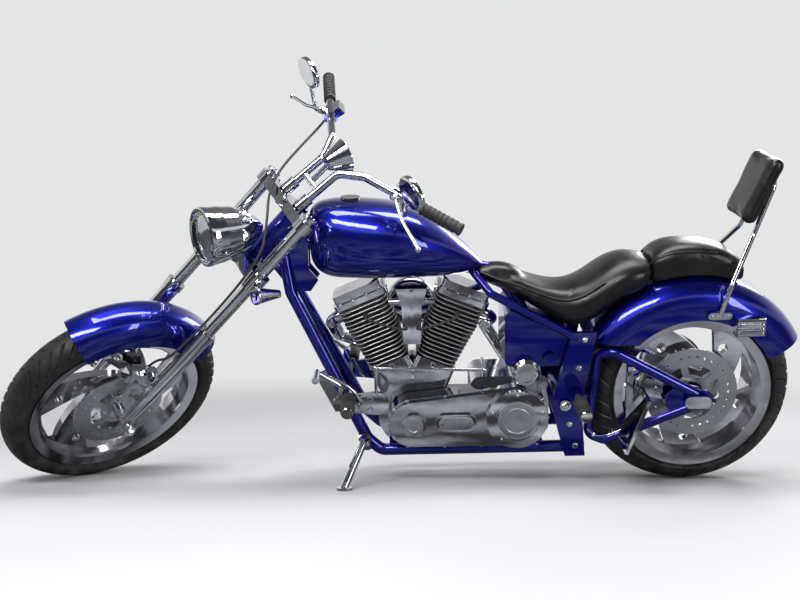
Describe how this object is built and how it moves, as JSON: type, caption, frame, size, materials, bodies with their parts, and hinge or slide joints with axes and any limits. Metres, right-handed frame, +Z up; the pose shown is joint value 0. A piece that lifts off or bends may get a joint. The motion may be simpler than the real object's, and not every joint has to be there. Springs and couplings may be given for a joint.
{
  "type": "chopper motorcycle",
  "caption": "Long chopper motorcycle with a raked fork, teardrop tank, finned V-twin engine, broad rear wheel, stepped seat and backrest, leaning on its side stand.",
  "frame": {"origin": "centre of the parked machine's bounding box in plan, at the floor that its tyres and side stand rest on", "axes": "+X is the machine's forward direction and its longest extent, +Y is its left, +Z is up from the floor; it leans to +Y on its side stand with the fork on its left stop"},
  "size_m": [2.4984, 0.8335, 1.3616],
  "materials": {
    "blue_paint": "deep metallic blue, high gloss",
    "chrome": "mirror",
    "polished_alloy": "polished",
    "alloy_casting": "satin cast",
    "black_fins": "satin black",
    "tyre_black": "matt",
    "rubber_black": "matt",
    "black_leather": "soft sheen",
    "disc_steel": "ground",
    "black_steel": "gloss black"
  },
  "bodies": {
    "chassis": {"frame_backbone": "blue_paint", "frame_cradle": "blue_paint", "frame_plates": "blue_paint", "swingarm": "blue_paint", "rear_axle": "chrome", "rear_caliper": "chrome", "engine_case": "polished_alloy", "cylinders": "black_fins", "rocker_boxes": "polished_alloy", "pushrod_tubes": "chrome", "coil_cover": "chrome", "primary_cover": "polished_alloy", "primary_caps": "chrome", "gearbox": "polished_alloy", "intake": "chrome", "exhaust": "chrome", "drive_belt": "rubber_black", "fuel_tank": "blue_paint", "tank_cap": "black_steel", "oil_tank": "blue_paint", "rider_seat": "black_leather", "pillion_pad": "black_leather", "backrest_pad": "black_leather", "sissy_bar": "chrome", "rear_fender": "blue_paint", "marker_lamps": "chrome", "regulator": "alloy_casting", "forward_controls": "chrome", "foot_pegs": "rubber_black", "shift_rod": "chrome", "plate_holder": "chrome", "cables": "rubber_black"},
    "steering": {"upper_tree": "polished_alloy", "lower_tree": "polished_alloy", "fork_tubes": "chrome", "fork_sliders": "polished_alloy", "front_axle": "chrome", "front_fender": "blue_paint", "front_caliper": "chrome", "handlebar": "chrome", "grips": "rubber_black", "hand_controls": "chrome", "mirrors": "chrome", "gauge_cup": "chrome", "headlamp": "chrome", "front_signals": "chrome", "brake_line": "rubber_black"},
    "front_wheel": {"front_rim": "polished_alloy", "front_tyre": "tyre_black", "front_disc": "disc_steel"},
    "rear_wheel": {"rear_rim": "polished_alloy", "rear_tyre": "tyre_black", "rear_disc": "disc_steel", "rear_pulley": "alloy_casting"},
    "side_stand": {"side_stand": "chrome"}
  },
  "joints": [
    {"name": "steering_turn", "type": "hinge", "parent": "chassis", "child": "steering", "pos_m": [0.90698, -0.09179, 0.263], "axis": [-0.6744, 0.2181, 0.7055], "range_deg": [-87, 0]},
    {"name": "front_wheel_spin", "type": "hinge", "parent": "steering", "child": "front_wheel", "pos_m": [0.93993, -0.04178, 0.27903], "axis": [-0.5126, 0.5493, -0.6599], "continuous": true},
    {"name": "rear_wheel_spin", "type": "hinge", "parent": "chassis", "child": "rear_wheel", "pos_m": [-0.91721, -0.08437, 0.32309], "axis": [-0.006, 0.9537, -0.3006], "continuous": true},
    {"name": "side_stand_fold", "type": "hinge", "parent": "chassis", "child": "side_stand", "pos_m": [0.11945, 0.01939, 0.14585], "axis": [0.2026, 0.8044, 0.5584], "range_deg": [0, 98]}
  ]
}
